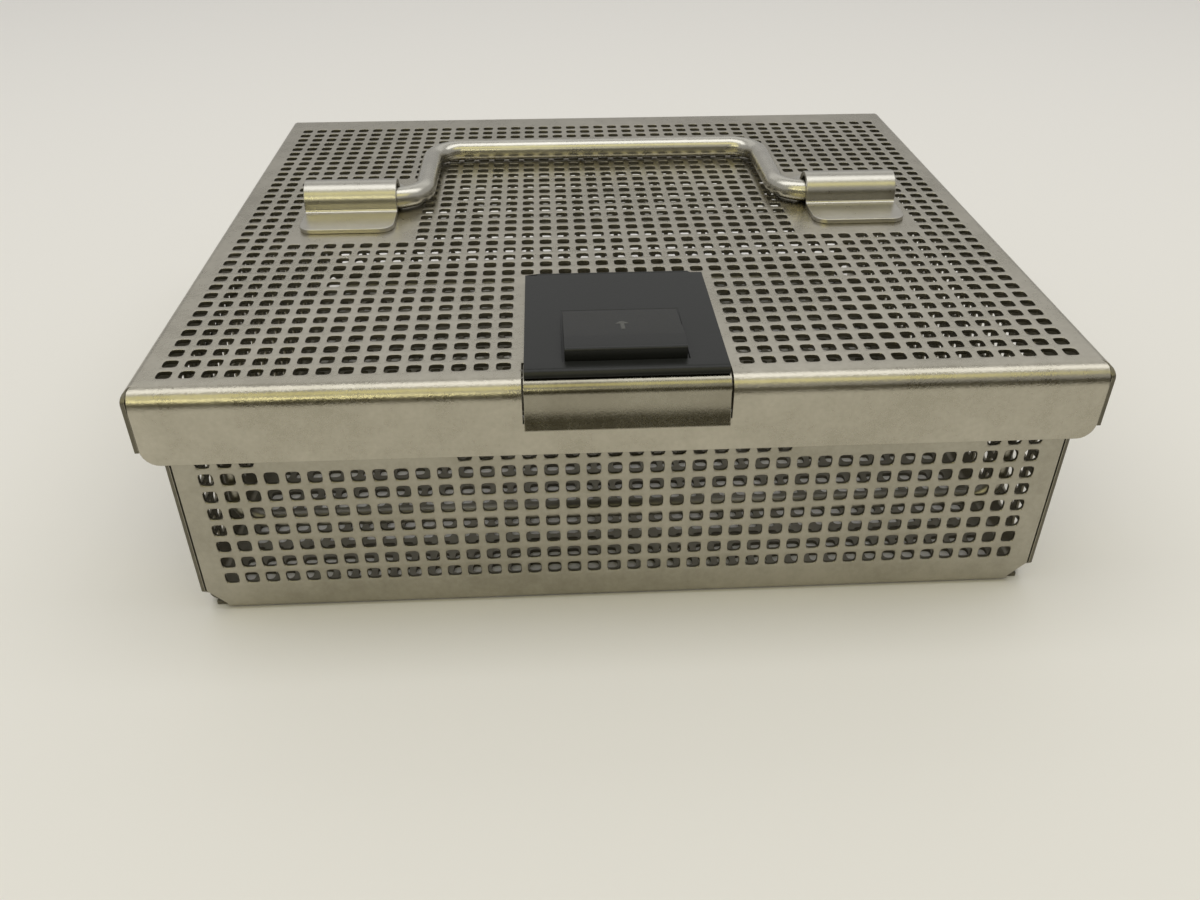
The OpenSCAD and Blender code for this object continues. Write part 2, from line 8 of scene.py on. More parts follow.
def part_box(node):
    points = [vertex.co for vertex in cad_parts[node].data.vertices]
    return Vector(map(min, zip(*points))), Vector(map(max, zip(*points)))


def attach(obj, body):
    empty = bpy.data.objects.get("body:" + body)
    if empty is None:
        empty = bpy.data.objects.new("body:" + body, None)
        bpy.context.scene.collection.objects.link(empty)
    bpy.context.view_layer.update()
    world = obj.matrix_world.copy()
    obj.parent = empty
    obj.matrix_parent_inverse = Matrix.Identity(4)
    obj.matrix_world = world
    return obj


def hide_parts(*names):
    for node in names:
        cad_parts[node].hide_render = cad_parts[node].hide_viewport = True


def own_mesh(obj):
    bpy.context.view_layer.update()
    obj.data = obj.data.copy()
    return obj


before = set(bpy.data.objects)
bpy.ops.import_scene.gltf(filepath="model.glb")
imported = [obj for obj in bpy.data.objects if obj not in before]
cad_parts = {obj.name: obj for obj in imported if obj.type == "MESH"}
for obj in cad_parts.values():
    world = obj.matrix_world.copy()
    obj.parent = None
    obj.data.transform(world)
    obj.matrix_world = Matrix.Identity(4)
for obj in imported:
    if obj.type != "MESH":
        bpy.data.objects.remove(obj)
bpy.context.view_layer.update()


# Floor of the tray
# Stainless sheet, punched all over with square holes and then polished in a bath.
# The cassette stands on it, and the four walls are folded up round it.

sheet = 0.0012
pitch = 0.006
hole = 0.004
hole_corner = 0.0011
fold_radius = 0.0026
tray_columns = 40
tray_rows = 36
tiny = 0.00002
tray_low, tray_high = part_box("tray")


def take(piece):
    """Makes this piece the only one selected."""
    bpy.ops.object.select_all(action="DESELECT")
    piece.select_set(True)
    bpy.context.view_layer.objects.active = piece


def choose(kind, fits):
    """In edit mode, selects the points, edges or faces whose corners all fit."""
    bpy.ops.mesh.select_mode(type=kind)
    bpy.ops.mesh.select_all(action="DESELECT")
    shape = bmesh.from_edit_mesh(bpy.context.object.data)
    for item in {"VERT": shape.verts, "EDGE": shape.edges, "FACE": shape.faces}[kind]:
        corners = [item] if kind == "VERT" else item.verts
        if all(fits(corner.co) for corner in corners):
            item.select_set(True)
    shape.select_flush_mode()
    bmesh.update_edit_mesh(bpy.context.object.data)


def pull(step):
    """Extrudes what is selected by one step."""
    bpy.ops.mesh.extrude_region_move(TRANSFORM_OT_translate={"value": step})


def put(piece, place, turn=(0, 0, 0)):
    """Turns and moves a finished piece, and leaves its object at the origin."""
    take(piece)
    piece.rotation_euler = turn
    piece.location = place
    bpy.ops.object.transform_apply(location=True, rotation=True, scale=True)


def punched(name, columns, rows):
    """A flat sheet round the origin, facing up, with columns and rows of square holes."""
    bpy.ops.object.select_all(action="DESELECT")
    corner = (-(columns - 1) * pitch / 2, -(rows - 1) * pitch / 2, 0)
    bpy.ops.mesh.primitive_plane_add(size=hole, location=corner)
    piece = bpy.context.object
    piece.name = name
    put(piece, corner)
    bpy.ops.object.mode_set(mode="EDIT")
    bpy.ops.mesh.bevel(affect="VERTICES", offset=hole_corner, segments=2)
    bpy.ops.mesh.delete(type="ONLY_FACE")
    bpy.ops.mesh.primitive_plane_add(size=pitch, location=corner)
    bpy.ops.mesh.delete(type="ONLY_FACE")
    bpy.ops.mesh.select_all(action="SELECT")
    bpy.ops.mesh.bridge_edge_loops()
    bpy.ops.mesh.select_all(action="SELECT")
    bpy.ops.mesh.normals_make_consistent(inside=False)
    bpy.ops.object.mode_set(mode="OBJECT")
    for count, step in ((columns, (pitch, 0, 0)), (rows, (0, pitch, 0))):
        repeat = piece.modifiers.new("repeat", "ARRAY")
        repeat.count = count
        repeat.use_relative_offset = False
        repeat.use_constant_offset = True
        repeat.constant_offset_displace = step
        repeat.use_merge_vertices = True
        repeat.merge_threshold = tiny
        bpy.ops.object.modifier_apply(modifier="repeat")
    face_to(piece, 2, 1)
    return piece


def face_to(piece, axis, side):
    """Turns the faces over if the largest one looks away from that side of the axis."""
    largest = max(piece.data.polygons, key=lambda face: face.area * abs(face.normal[axis]))
    if largest.normal[axis] * side < 0:
        piece.data.flip_normals()


def widen(axis, place, to):
    """In edit mode, draws the sheet on from its edge at one place to another."""
    choose("EDGE", lambda point: abs(point[axis] - place) < tiny)
    step = [0, 0, 0]
    step[axis] = to - place
    pull(step)


def leave_bare(fits):
    """In edit mode, closes the holes of a patch."""
    choose("VERT", fits)
    bpy.ops.mesh.fill_holes(sides=12)


def thicken(piece, thickness, edge, face_steel, cut_steel, segments=1):
    """Gives a sheet its steel, its thickness on the inner side and rounded cut edges."""
    take(piece)
    piece.data.materials.clear()
    piece.data.materials.append(face_steel)
    piece.data.materials.append(cut_steel)
    wall = piece.modifiers.new("wall", "SOLIDIFY")
    wall.thickness = thickness
    wall.offset = -1
    wall.use_even_offset = True
    wall.material_offset_rim = 1
    bpy.ops.object.modifier_apply(modifier="wall")
    soften(piece, edge, segments)


def soften(piece, edge, segments):
    """Rounds every sharp edge of a piece, and lets its flat faces stay flat."""
    take(piece)
    if edge:
        rounding = piece.modifiers.new("rounding", "BEVEL")
        rounding.width = edge
        rounding.segments = segments
        rounding.limit_method = "ANGLE"
        rounding.angle_limit = radians(40)
        bpy.ops.object.modifier_apply(modifier="rounding")
    bpy.ops.object.shade_smooth_by_angle(angle=radians(50))
    weighted = piece.modifiers.new("weighted", "WEIGHTED_NORMAL")
    weighted.keep_sharp = True
    bpy.ops.object.modifier_apply(modifier="weighted")


class Value:
    """A number socket of a material, which Python's arithmetic turns into Math nodes."""

    def __init__(self, paint, socket):
        self.paint = paint
        self.socket = socket

    def maths(self, operation, first, second):
        return self.paint.node("ShaderNodeMath", {"operation": operation}, {0: first, 1: second})

    def __add__(self, other):
        return self.maths("ADD", self, other)

    def __mul__(self, other):
        return self.maths("MULTIPLY", self, other)

    __radd__ = __add__
    __rmul__ = __mul__


class Paint:
    """The nodes of one material."""

    def __init__(self, name, **constants):
        self.material = bpy.data.materials.new(name)
        self.material.use_nodes = True
        self.nodes = self.material.node_tree.nodes
        self.links = self.material.node_tree.links
        self.shader = self.nodes["Principled BSDF"]
        for socket, value in constants.items():
            self.shader.inputs[socket.replace("_", " ")].default_value = value
        self.place = self.node("ShaderNodeTexCoord", {}, {}, "Object")

    def node(self, kind, settings, inputs, output=0):
        made = self.nodes.new(kind)
        for name, value in settings.items():
            setattr(made, name, value)
        for name, value in inputs.items():
            if isinstance(value, Value):
                self.links.new(value.socket, made.inputs[name])
            else:
                made.inputs[name].default_value = value
        return Value(self, made.outputs[output])

    def feed(self, socket, value):
        self.links.new(value.socket, self.shader.inputs[socket])

    def noise(self, size, detail=2.0):
        """Noise whose spots are about this size, in metres."""
        return self.node(
            "ShaderNodeTexNoise", {}, {"Vector": self.place, "Scale": 1 / size, "Detail": detail}
        )

    def mix(self, factor, low, high):
        return self.node(
            "ShaderNodeMix", {"data_type": "RGBA"}, {"Factor": factor, 6: low, 7: high}, 2
        )

    def bump(self, height, strength, distance):
        return self.node(
            "ShaderNodeBump", {}, {"Height": height, "Strength": strength, "Distance": distance}
        )


def steel(name, dark, light, rough, haze, grain):
    """Bath-polished stainless steel with cloudy patches, stains, specks and a fine grain."""
    paint = Paint(name, Metallic=1.0)
    clouds = paint.noise(0.045, 3.0)
    stains = paint.noise(0.007, 4.0)
    specks = paint.noise(0.0015)
    fine = paint.noise(0.0006)
    blotches = paint.node(
        "ShaderNodeMapRange",
        {},
        {"Value": clouds * 0.5 + stains * 0.3 + specks * 0.2, "From Min": 0.37, "From Max": 0.63},
    )
    paint.feed("Base Color", paint.mix(blotches, (*dark, 1), (*light, 1)))
    paint.feed("Roughness", rough + blotches * haze + fine * 0.06)
    paint.feed("Normal", paint.bump(fine, grain, 0.00012))
    return paint.material


def finish(piece, slot, body, *nodes):
    """Fixes a piece to a body and hides the solids of the frame that it stands for."""
    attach(piece, body)
    if nodes:
        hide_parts(*nodes)


# The walls' steel is the lid's stainless sheet painted darker, as painted shade on the tray below
# the lid.
tray_wall_shade_steel = steel("tray_wall_steel_painted_shade", (0.33, 0.31, 0.25), (0.45, 0.425, 0.355), 0.27, 0.1, 0.5)
# The cut faces inside the holes and along the sheet edges are rougher, and painted much darker as
# painted shade in the holes.
rough_cut_steel_and_hole_shade = steel("rough_cut_steel_and_hole_shade", (0.14, 0.13, 0.10), (0.20, 0.185, 0.145), 0.42, 0.1, 0.6)
tray_floor = punched("tray_floor", tray_columns, tray_rows)
put(tray_floor, (0, 0, sheet))
bpy.ops.object.mode_set(mode="EDIT")
for side in (-1, 1):
    widen(0, side * tray_columns * pitch / 2, side * (tray_high.x - fold_radius))
    widen(1, side * tray_rows * pitch / 2, side * (tray_high.y - fold_radius))
bpy.ops.object.mode_set(mode="OBJECT")
# The floor's steel is rougher, and painted darker than the walls' as painted shade inside the
# closed box.
floor_shade_steel = steel("tray_floor_steel_painted_shade", (0.27, 0.255, 0.205), (0.36, 0.34, 0.28), 0.42, 0.12, 0.6)
thicken(tray_floor, sheet, 0, floor_shade_steel, rough_cut_steel_and_hole_shade)
finish(tray_floor, "sheet_steel", "tray", "tray")


# Front and rear walls of the tray
# Each is folded up from the floor with a small radius, and its lower corners are cut off
# where the sheet was notched for folding. The front one has a window for the bolt.

wall_rows = 10
first_hole_z = 0.0124
wall_gap = 0.0003
corner_cut = 0.005
cut_edge = 0.0002
wall_fold_steps = 5
wall_end = tray_high.x - sheet - wall_gap
wall_middle_z = first_hole_z + (wall_rows - 1) * pitch / 2
window_low = Vector((-0.0113, 0, 0.0697))
window_high = Vector((0.0113, 0, 0.0728))
window_margin = 0.0095
bare_z = first_hole_z + 6.5 * pitch
bracket_bare_x = (8 * pitch, 17 * pitch)
window_bare_x = 4 * pitch


def opening(low, high, axes, near):
    """In edit mode, cuts a box out of the faces near it, looking only along some axes."""
    for axis in axes:
        for place in (low[axis], high[axis]):
            choose("FACE", lambda p: all(low[a] - near < p[a] < high[a] + near for a in axes))
            normal = [0, 0, 0]
            normal[axis] = 1
            bpy.ops.mesh.bisect(plane_co=[place] * 3, plane_no=normal)
    choose("FACE", lambda p: all(low[a] - tiny < p[a] < high[a] + tiny for a in axes))
    bpy.ops.mesh.delete(type="FACE")


def wall(name, columns, end, plane):
    """An upright wall that faces the front, with its foot folded towards the rear."""
    piece = punched(name, columns, wall_rows)
    put(piece, (0, plane, wall_middle_z), (pi / 2, 0, 0))
    foot = wall_middle_z - wall_rows * pitch / 2
    head = wall_middle_z + wall_rows * pitch / 2
    bpy.ops.object.mode_set(mode="EDIT")
    for side in (-1, 1):
        widen(0, side * columns * pitch / 2, side * end)
    widen(2, foot, fold_radius)
    widen(2, head, tray_high.z)
    for side in (-1, 1):
        bpy.ops.mesh.select_all(action="SELECT")
        bpy.ops.mesh.bisect(
            plane_co=(side * (end - corner_cut), 0, fold_radius),
            plane_no=(side, 0, -1),
            clear_outer=True,
        )
    choose("EDGE", lambda p: abs(p.z - fold_radius) < tiny)
    bpy.ops.mesh.spin(
        steps=wall_fold_steps,
        angle=pi / 2,
        center=(0, plane + fold_radius, fold_radius),
        axis=(-1, 0, 0),
    )
    return piece


def twin(piece, name, turn=(0, 0, 0), place=(0, 0, 0)):
    """A copy of a piece with its own mesh, turned and moved."""
    copy = piece.copy()
    copy.data = piece.data.copy()
    copy.name = name
    bpy.context.collection.objects.link(copy)
    put(copy, place, turn)
    return copy


tray_front_wall = wall("tray_front_wall", tray_columns, wall_end, tray_low.y)
leave_bare(
    lambda p: p.z > bare_z - tiny
    and bracket_bare_x[0] - tiny < abs(p.x) < bracket_bare_x[1] + tiny
)
leave_bare(lambda p: p.z > bare_z + pitch - tiny and abs(p.x) < window_bare_x + tiny)
bpy.ops.object.mode_set(mode="OBJECT")

tray_rear_wall = twin(tray_front_wall, "tray_rear_wall", turn=(0, 0, pi))

take(tray_front_wall)
bpy.ops.object.mode_set(mode="EDIT")
opening(window_low, window_high, (0, 2), window_margin)
bpy.ops.object.mode_set(mode="OBJECT")
for piece, side in ((tray_front_wall, -1), (tray_rear_wall, 1)):
    face_to(piece, 1, side)
    thicken(piece, sheet, cut_edge, tray_wall_shade_steel, rough_cut_steel_and_hole_shade)
    finish(piece, "sheet_steel", "tray", "tray")


# Side walls of the tray
# The same sheet again, folded up at both ends of the floor. Their ends reach past the
# front and rear walls, so that their cut edges show as a strip at each corner.

tray_side_right = wall("tray_side_right", tray_rows, tray_high.y, -tray_high.x)
bpy.ops.object.mode_set(mode="OBJECT")
put(tray_side_right, (0, 0, 0), (0, 0, pi / 2))
tray_side_left = twin(tray_side_right, "tray_side_left", turn=(0, 0, pi))
for piece, side in ((tray_side_right, 1), (tray_side_left, -1)):
    face_to(piece, 0, side)
    thicken(piece, sheet, cut_edge, tray_wall_shade_steel, rough_cut_steel_and_hole_shade)
    finish(piece, "sheet_steel", "tray", "tray")


# Lid
# One sheet with a skirt on each side. The front fold is wide and round, the others are
# tight. The skirts nearly meet at the corners, and the holes miss the bare patches.

lid_low, lid_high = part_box("lid")
lid_columns = 42
lid_rows = 36
lid_holes_y = -0.0021
front_radius = 0.005
side_skirt = 0.0185
skirt_corner = 0.005
skirt_gap = 0.0003
skirt_end = lid_high.x - sheet - skirt_gap
plate_x = lid_high.x - fold_radius
plate_front = lid_low.y + front_radius
plate_rear = lid_high.y - fold_radius
holes_x = lid_columns * pitch / 2
holes_front = lid_holes_y - lid_rows * pitch / 2
holes_rear = lid_holes_y + lid_rows * pitch / 2
lid_top = lid_high.z
bracket_patch_x = (0.066, 0.108)
bracket_patch_y = (holes_front + 15 * pitch, holes_front + 25 * pitch)
latch_patch_x = 5 * pitch
latch_patch_y = holes_front + 10 * pitch

lid_sheet = punched("lid_sheet", lid_columns, lid_rows)
put(lid_sheet, (0, lid_holes_y, lid_top))
bpy.ops.object.mode_set(mode="EDIT")
leave_bare(
    lambda p: bracket_patch_x[0] - tiny < abs(p.x) < bracket_patch_x[1] + tiny
    and bracket_patch_y[0] - tiny < p.y < bracket_patch_y[1] + tiny
)
leave_bare(lambda p: abs(p.x) < latch_patch_x + tiny and p.y < latch_patch_y + tiny)
for side in (-1, 1):
    widen(0, side * holes_x, side * plate_x)
widen(1, holes_front, plate_front)
widen(1, holes_rear, plate_rear)

# the front and rear skirts, whose folds are mitred against those of the side skirts
fold_steps = 6
seam = 0.0002
notch_reach = 0.001
notch_drop = 0.0008
for plate_edge, radius, side in ((plate_front, front_radius, -1), (plate_rear, fold_radius, 1)):
    choose("EDGE", lambda p: abs(p.y - plate_edge) < tiny)
    bpy.ops.mesh.spin(
        steps=fold_steps, angle=pi / 2, center=(0, plate_edge, lid_top - radius), axis=(side, 0, 0)
    )
    for step in range(1, fold_steps + 1):
        angle = step * pi / 2 / fold_steps
        drop = min(radius * (1 - cos(angle)), fold_radius)
        mitre = fold_radius * sin(acos(1 - drop / fold_radius)) - seam
        reach = min(mitre, notch_reach) if side < 0 else mitre
        for end in (-1, 1):
            choose(
                "VERT",
                lambda p: abs((p.y - plate_edge) * side - radius * sin(angle)) < tiny
                and abs(p.x - end * plate_x) < tiny,
            )
            bpy.ops.transform.translate(value=(end * reach, 0, 0))
    choose(
        "EDGE",
        lambda p: (p.y - plate_edge) * side > radius - tiny and p.z < lid_top - radius + tiny,
    )
    pull((0, 0, -notch_drop))
    pull((0, 0, lid_low.z - lid_top + radius + notch_drop))
    for end in (-1, 1):
        choose(
            "VERT",
            lambda p: (p.y - plate_edge) * side > radius - tiny
            and p.z < lid_top - radius - notch_drop / 2
            and p.x * end > plate_x - tiny,
        )
        bpy.ops.transform.translate(value=(end * (skirt_end - plate_x - reach), 0, 0))
    choose("VERT", lambda p: abs(p.z - lid_low.z) < tiny and abs(abs(p.x) - skirt_end) < tiny)
    bpy.ops.mesh.bevel(affect="VERTICES", offset=skirt_corner, segments=6)

# the side skirts, whose ends follow the rounding of the front and rear folds
side_fold_steps = 5
for side in (-1, 1):
    choose("EDGE", lambda p: abs(p.x - side * plate_x) < tiny and abs(p.z - lid_top) < tiny)
    bpy.ops.mesh.spin(
        steps=side_fold_steps,
        angle=pi / 2,
        center=(side * plate_x, 0, lid_top - fold_radius),
        axis=(0, -side, 0),
    )
    pull((0, 0, fold_radius - side_skirt))
    for plate_edge, radius, way, end_gap in (
        (plate_front, front_radius, -1, 0.0006),
        (plate_rear, fold_radius, 1, 0.0003),
    ):
        choose("EDGE", lambda p: abs(p.y - plate_edge) < tiny and p.x * side > plate_x - tiny)
        pull((0, way * (radius - end_gap), 0))
        for angle in (22.5, 45, 67.5):
            lean = Vector((0, way * sin(radians(angle)), cos(radians(angle))))
            choose(
                "FACE",
                lambda p: p.x * side > plate_x - tiny and (p.y - plate_edge) * way > -tiny,
            )
            centre = Vector((0, plate_edge, lid_top - radius))
            bpy.ops.mesh.bisect(
                plane_co=centre + lean * (radius - end_gap / 2), plane_no=lean, clear_outer=True
            )

# the notch for the latch cover and the opening under the slider, for its boss
notch_low = Vector((-0.0282, lid_low.y, lid_top - 0.0122))
notch_high = Vector((0.0282, lid_low.y + 0.0117, lid_top))
notch_margin = 0.018
boss_low = Vector((-0.0125, -0.1005, 0))
boss_high = Vector((0.0125, -0.0675, 0))
boss_margin = 0.008
opening(notch_low, notch_high, (0, 1, 2), notch_margin)
opening(boss_low, boss_high, (0, 1), boss_margin)
bpy.ops.mesh.select_all(action="SELECT")
bpy.ops.mesh.normals_make_consistent(inside=False)
bpy.ops.object.mode_set(mode="OBJECT")
face_to(lid_sheet, 2, 1)
lid_steel = steel("lid_sheet_steel", (0.39, 0.365, 0.295), (0.51, 0.48, 0.40), 0.22, 0.08, 0.45)
thicken(lid_sheet, sheet, cut_edge, lid_steel, rough_cut_steel_and_hole_shade)
finish(lid_sheet, "sheet_steel", "lid", "lid")


# Brackets of the lid handle
# A strap of thicker steel, bent over the rod into a tunnel, with both feet welded to the
# lid. The corners of the feet are rounded and their edges broken.

strap = 0.0016
strap_edge = 0.0003
foot_corner = 0.005
foot_bend = 0.0012
bracket_low, bracket_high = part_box("lid_bracket_right")
arch_radius = 0.0067
arch_z = bracket_high.z - arch_radius
arch_y = (bracket_low.y + bracket_high.y) / 2
foot_top = bracket_low.z + strap
bracket_middle = (bracket_low.x + bracket_high.x) / 2
bracket_width = bracket_high.x - bracket_low.x
foot_length = arch_y - arch_radius - bracket_low.y

bpy.ops.object.select_all(action="DESELECT")
bpy.ops.mesh.primitive_plane_add(size=1)
lid_strap_right = bpy.context.object
lid_strap_right.name = "lid_strap_right"
lid_strap_right.scale = (bracket_width, foot_length, 1)
put(lid_strap_right, (bracket_middle, bracket_low.y + foot_length / 2, foot_top))
bpy.ops.object.mode_set(mode="EDIT")
choose("EDGE", lambda p: abs(p.y - arch_y + arch_radius) < tiny)
pull((0, 0, arch_z - foot_top))
bpy.ops.mesh.spin(steps=18, angle=pi, center=(0, arch_y, arch_z), axis=(1, 0, 0))
pull((0, 0, foot_top - arch_z))
pull((0, foot_length, 0))
choose(
    "VERT",
    lambda p: abs(p.z - foot_top) < tiny
    and abs(abs(p.y - arch_y) - arch_radius - foot_length) < tiny,
)
bpy.ops.mesh.bevel(affect="VERTICES", offset=foot_corner, segments=6)
choose(
    "EDGE",
    lambda p: abs(p.z - foot_top) < tiny and abs(abs(p.y - arch_y) - arch_radius) < tiny,
)
bpy.ops.mesh.bevel(affect="EDGES", offset=foot_bend, segments=4)
bpy.ops.mesh.select_all(action="SELECT")
bpy.ops.mesh.normals_make_consistent(inside=False)
bpy.ops.object.mode_set(mode="OBJECT")
face_to(lid_strap_right, 2, 1)
bracket_steel = steel("bracket_steel", (0.45, 0.43, 0.375), (0.53, 0.51, 0.45), 0.24, 0.06, 0.25)
thicken(lid_strap_right, strap, strap_edge, bracket_steel, bracket_steel, 2)
lid_strap_left = twin(lid_strap_right, "lid_strap_left", place=(-2 * bracket_middle, 0, 0))
finish(lid_strap_right, "fitting_steel", "lid", "lid_bracket_right")
finish(lid_strap_left, "fitting_steel", "lid", "lid_bracket_left")


# Handle of the lid and drop handles of the tray
# Bent from round stainless rod. The lid's handle lies flat and is polished by use, and
# the other two hang inside the walls; their steel is rougher and painted darker, as painted shade
# inside the tray.

rod_steel = steel("rod_steel", (0.50, 0.48, 0.42), (0.58, 0.56, 0.49), 0.22, 0.06, 0.15)
# painted shade: the drop handles' steel is darker than the lid handle's
drop_rod_shade_steel = steel("drop_rod_shade_steel", (0.30, 0.285, 0.24), (0.38, 0.36, 0.30), 0.36, 0.08, 0.3)


def coat(node, material):
    """Gives a solid of the frame its steel."""
    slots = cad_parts[node].data.materials
    slots.clear()
    slots.append(material)


coat("lid_handle", rod_steel)
coat("tray_handle_front", drop_rod_shade_steel)
coat("tray_handle_rear", drop_rod_shade_steel)


# Welded and pinned fittings
# Brackets of the drop handles, the hinges with their pins, and what carries the bolt
# under the lid. All are plain stainless steel, cut, bent and spot welded.

fitting_steel = steel("fitting_steel", (0.50, 0.48, 0.42), (0.60, 0.58, 0.52), 0.28, 0.08, 0.3)
for node in (
    "strike_plate",
    "tray_bracket_front_left",
    "tray_bracket_front_right",
    "tray_bracket_rear_left",
    "tray_bracket_rear_right",
    "tray_hinge_leaf_left",
    "tray_hinge_leaf_right",
    "lid_hinge_leaf_left",
    "lid_hinge_leaf_right",
    "hinge_pin_left",
    "hinge_pin_right",
    "latch_rail_left",
    "latch_rail_right",
    "spring_stop",
    "latch_bolt",
    "latch_rivets",
):
    coat(node, fitting_steel)


# Return springs of the latch
# Two small coils between the tab of the bolt and the upright behind it. On the real latch
# they shorten when the slider is drawn back; here they keep their resting length.

spring_wire = 0.0006
spring_turns = 6
spring_steel = steel("spring_steel", (0.42, 0.42, 0.42), (0.52, 0.52, 0.52), 0.2, 0.05, 0.1)
for side, node in ((-1, "latch_spring_left"), (1, "latch_spring_right")):
    spring_low, spring_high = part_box(node)
    coil_radius = (spring_high.x - spring_low.x - spring_wire) / 2
    coil_length = spring_high.y - spring_low.y - spring_wire
    bpy.ops.object.select_all(action="DESELECT")
    bpy.ops.mesh.primitive_circle_add(vertices=8, radius=spring_wire / 2)
    spring = bpy.context.object
    spring.name = "spring_left" if side < 0 else "spring_right"
    put(spring, (coil_radius, 0, 0))
    winding = spring.modifiers.new("winding", "SCREW")
    winding.axis = "Y"
    winding.angle = 2 * pi
    winding.steps = 20
    winding.iterations = spring_turns
    winding.screw_offset = coil_length / spring_turns
    bpy.ops.object.modifier_apply(modifier="winding")
    spring_middle = (spring_low + spring_high) / 2
    put(spring, (spring_middle.x, spring_low.y + spring_wire / 2, spring_middle.z))
    bpy.ops.object.mode_set(mode="EDIT")
    bpy.ops.mesh.select_all(action="SELECT")
    bpy.ops.mesh.fill_holes(sides=8)
    bpy.ops.mesh.normals_make_consistent(inside=False)
    bpy.ops.object.mode_set(mode="OBJECT")
    bpy.ops.object.shade_smooth()
    spring.data.materials.append(spring_steel)
    finish(spring, "spring_steel", "lid", node)
    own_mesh(spring)


# Latch cover
# A polished steel strip that closes the notch of the front fold. It is rolled over at the
# top, so that the slider's nose runs above it, and its foot flares out over the skirt.

cover_low, cover_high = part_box("latch_cover")
cover_radius = 0.004
cover_bend = 0.02
flare = radians(17)
flare_height = 0.0025
cover_face = cover_low.y + cover_bend * (1 - cos(flare)) + flare_height * tan(flare)
cover_width = cover_high.x - cover_low.x
cover_sheet = 0.0008
cover_edge = 0.00035
cover_depth = cover_high.y - cover_face - cover_radius
bend_z = cover_low.z + flare_height + cover_bend * sin(flare)

bpy.ops.object.select_all(action="DESELECT")
bpy.ops.mesh.primitive_plane_add(size=1)
cover_strip = bpy.context.object
cover_strip.name = "cover_strip"
cover_strip.scale = (cover_width, cover_depth, 1)
put(cover_strip, (0, cover_high.y - cover_depth / 2, cover_high.z))
bpy.ops.object.mode_set(mode="EDIT")
choose("EDGE", lambda p: abs(p.y - cover_face - cover_radius) < tiny)
bpy.ops.mesh.spin(
    steps=8,
    angle=pi / 2,
    center=(0, cover_face + cover_radius, cover_high.z - cover_radius),
    axis=(-1, 0, 0),
)
pull((0, 0, bend_z - cover_high.z + cover_radius))
bpy.ops.mesh.spin(
    steps=8, angle=flare, center=(0, cover_face - cover_bend, bend_z), axis=(1, 0, 0)
)
pull((0, -flare_height * tan(flare), -flare_height))
bpy.ops.mesh.select_all(action="SELECT")
bpy.ops.mesh.normals_make_consistent(inside=False)
bpy.ops.object.mode_set(mode="OBJECT")
face_to(cover_strip, 2, 1)
# The strip's steel is painted about a quarter darker than the lid's, as painted shade under the
# slider's nose.
cover_steel = steel("cover_steel", (0.27, 0.25, 0.195), (0.36, 0.34, 0.275), 0.2, 0.06, 0.2)
thicken(cover_strip, cover_sheet, cover_edge, cover_steel, cover_steel, 3)
finish(cover_strip, "cover_steel", "lid", "latch_cover")


# Latch slider
# Moulded in black plastic. Its plate lies on the lid, the nose rounds down over the cover,
# and the thumb pushes against a raised grip with a lip, to draw the bolt back.

slider_low, slider_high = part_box("latch_slider")
slider_thickness = 0.002
slider_gap = 0.0002
slider_under = lid_top + slider_gap
slider_top = slider_under + slider_thickness
nose_set = 0.0015
plate_y = slider_low.y + nose_set + slider_thickness
plate_length = slider_high.y - plate_y
slider_width = slider_high.x - slider_low.x
slider_corner = 0.004
slider_edge = 0.0003
grip_half = 0.01725
grip_front = slider_low.y + 0.0067
grip_length = 0.03
grip_rear = grip_front + grip_length
grip_flat = 0.0082
grip_crest = grip_front + grip_flat
grip_height = slider_high.z - slider_top
moat = 0.0007
lip = 0.0016
lip_height = 0.0003
lip_round = 0.0009
ramp_end = 0.0001
margin = 0.001

bpy.ops.object.select_all(action="DESELECT")
bpy.ops.mesh.primitive_cube_add(size=1)
slider = bpy.context.object
slider.name = "slider"
slider.scale = (slider_width, plate_length, slider_thickness)
put(slider, (0, plate_y + plate_length / 2, slider_under + slider_thickness / 2))
bpy.ops.object.mode_set(mode="EDIT")
choose(
    "EDGE",
    lambda p: abs(abs(p.x) - slider_high.x) < tiny and abs(p.y - slider_high.y) < tiny,
)
bpy.ops.mesh.bevel(affect="EDGES", offset=slider_corner, segments=1)
choose("FACE", lambda p: abs(p.y - plate_y) < tiny)
bpy.ops.mesh.spin(steps=7, angle=pi / 2, center=(0, plate_y, slider_under), axis=(-1, 0, 0))
bpy.ops.mesh.select_all(action="SELECT")
bpy.ops.mesh.remove_doubles(threshold=tiny)

# the grip, raised from the middle of the plate inside a narrow groove
for axis, place in ((0, -grip_half), (0, grip_half), (1, grip_front), (1, grip_rear)):
    normal = [0, 0, 0]
    normal[axis] = 1
    choose("FACE", lambda p: p.z > slider_top - margin and p.y > plate_y - tiny)
    bpy.ops.mesh.bisect(plane_co=[place] * 3, plane_no=normal)
choose(
    "FACE",
    lambda p: abs(p.z - slider_top) < tiny
    and abs(p.x) < grip_half + tiny
    and grip_front - tiny < p.y < grip_rear + tiny,
)
pull((0, 0, -moat))
bpy.ops.mesh.inset(thickness=moat)
pull((0, 0, moat + grip_height))
choose("FACE", lambda p: p.z > slider_top + grip_height - tiny)
bpy.ops.mesh.bisect(plane_co=(0, grip_crest, 0), plane_no=(0, 1, 0))
choose("FACE", lambda p: p.z > slider_top + grip_height - tiny and p.y < grip_crest + tiny)
bpy.ops.mesh.bisect(plane_co=(0, grip_front + moat + lip, 0), plane_no=(0, 1, 0))
choose("VERT", lambda p: p.z > slider_top + tiny and p.y > grip_crest + margin)
bpy.ops.transform.translate(value=(0, 0, -grip_height + ramp_end))
choose("VERT", lambda p: p.z > slider_top + tiny and abs(p.y - grip_front - moat - lip) < tiny)
bpy.ops.transform.translate(value=(0, 0, -lip_height))
